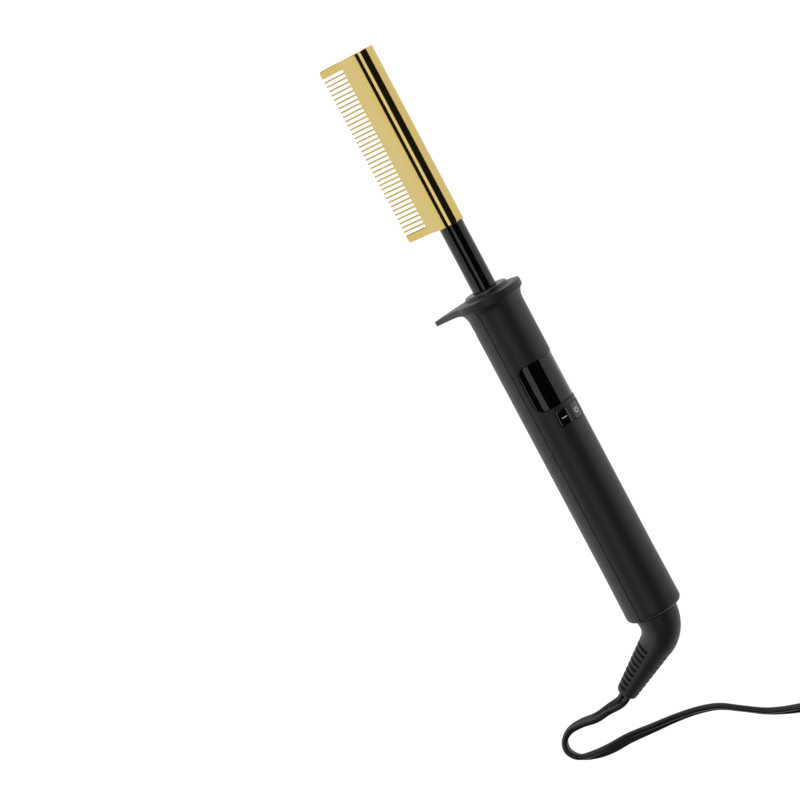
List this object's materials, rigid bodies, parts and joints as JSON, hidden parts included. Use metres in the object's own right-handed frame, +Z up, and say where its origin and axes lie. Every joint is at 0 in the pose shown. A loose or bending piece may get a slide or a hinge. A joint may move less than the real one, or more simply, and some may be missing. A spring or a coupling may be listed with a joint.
{
  "type": "hot comb",
  "caption": "Electric hot comb with a heated gold comb head, round handle with finger guard, display window, push keys and a swivelling mains lead.",
  "frame": {"origin": "on the table, under the middle of the tool's own box, without its lead", "axes": "+X along the handle towards the comb's tip, +Y towards the side that the teeth point to, +Z up from the table"},
  "size_m": [0.3979, 0.2389, 0.0338],
  "materials": {
    "handle_plastic": "fine satin grain, black",
    "neck_enamel": "gloss black enamel on steel tube",
    "collar_plastic": "glossy black heat-proof plastic",
    "gold_metal": "polished gold anodised",
    "heater_steel": "plain bright steel",
    "fuse_ceramic": "cream ceramic sleeve",
    "wire_sleeve": "white glass-fibre sleeve",
    "sensor_sleeve": "brown lacquered sleeve",
    "lens_black": "high-gloss smoked window",
    "display_glass": "dark display glass",
    "white_plastic": "white moulded plastic",
    "board_green": "green lacquered board",
    "chip_black": "black moulded chip",
    "capacitor_can": "blue sleeve on an aluminium can",
    "key_black": "gloss black with bright edge",
    "stem_plastic": "natural moulded plastic",
    "screw_steel": "plain steel screws",
    "bush_plastic": "natural slippery bearing plastic",
    "ring_brass": "plain copper alloy rings",
    "boot_rubber": "soft satin black",
    "cord_pvc": "satin black flexible sheath",
    "plug_plastic": "satin black moulded plug",
    "blade_brass": "bright plated brass"
  },
  "bodies": {
    "tool": {"front_shell": "handle_plastic", "rear_shell": "handle_plastic", "neck_tube": "neck_enamel", "neck_collar": "collar_plastic", "comb_head": "gold_metal", "heater_rod": "heater_steel", "temperature_sensor": "heater_steel", "thermal_fuse": "fuse_ceramic", "heater_wires": "wire_sleeve", "sensor_wires": "sensor_sleeve", "display_lens": "lens_black", "lcd_module": "display_glass", "lcd_holder": "white_plastic", "circuit_board": "board_green", "board_screws": "screw_steel", "controller_chip": "chip_black", "triac": "chip_black", "smoothing_capacitor": "capacitor_can", "switch_housings": "chip_black", "case_screws": "screw_steel", "swivel_bush": "bush_plastic", "brush_holder": "chip_black", "contact_springs": "ring_brass", "mains_wires": "cord_pvc"},
    "cord_swivel": {"swivel_spindle": "bush_plastic", "slip_rings": "ring_brass", "swivel_boot": "boot_rubber", "mains_cord": "cord_pvc", "cord_coil": "cord_pvc", "cord_tie": "cord_pvc", "plug_body": "plug_plastic", "plug_blades": "blade_brass"},
    "key_body_minus": {"key_minus": "key_black", "stem_minus": "stem_plastic"},
    "key_body_power": {"key_power": "key_black", "stem_power": "stem_plastic"},
    "key_body_plus": {"key_plus": "key_black", "stem_plus": "stem_plastic"}
  },
  "joints": [
    {"name": "boot_swivel", "type": "hinge", "parent": "tool", "child": "cord_swivel", "pos_m": [-0.15107, -0.00734, 0.01426], "axis": [0.9999, 0, 0.0154], "continuous": true},
    {"name": "press_minus", "type": "slide", "parent": "tool", "child": "key_body_minus", "axis": [0.0062, 0.9148, -0.4039], "range_m": [0, 0.0004], "stiffness_N_per_m": 1000, "springref_m": -0.0005},
    {"name": "press_power", "type": "slide", "parent": "tool", "child": "key_body_power", "axis": [0.0062, 0.9148, -0.4039], "range_m": [0, 0.0004], "stiffness_N_per_m": 1000, "springref_m": -0.0005},
    {"name": "press_plus", "type": "slide", "parent": "tool", "child": "key_body_plus", "axis": [0.0062, 0.9148, -0.4039], "range_m": [0, 0.0004], "stiffness_N_per_m": 1000, "springref_m": -0.0005}
  ]
}
